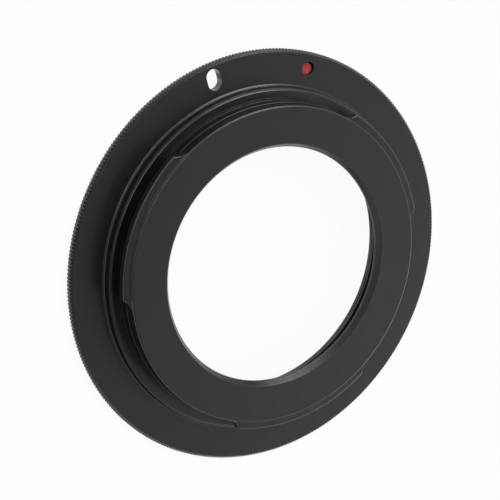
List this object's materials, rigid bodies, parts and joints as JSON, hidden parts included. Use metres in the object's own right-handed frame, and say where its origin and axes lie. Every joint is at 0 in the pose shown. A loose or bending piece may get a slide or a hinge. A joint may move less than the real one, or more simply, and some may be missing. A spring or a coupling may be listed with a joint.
{
  "type": "lens mount adapter",
  "caption": "Flat black ring that fits a screw-thread lens to a bayonet camera, with a knurled flange, lock pin slot, red index dot, centring spigot, bayonet lugs and a lipped, threaded bore.",
  "frame": {"origin": "on the optical axis, in the plane of the lens seat on which the ring lies", "axes": "+Z along the optical axis from the lens to the camera, +Y through the index dot"},
  "size_m": [0.065, 0.065, 0.0064],
  "materials": {
    "black_anodised": "fine-blasted, matte black anodised",
    "red_enamel": "semi-gloss red enamel"
  },
  "bodies": {
    "root": {"adapter_ring": "black_anodised", "index_dot": "red_enamel"}
  },
  "joints": []
}
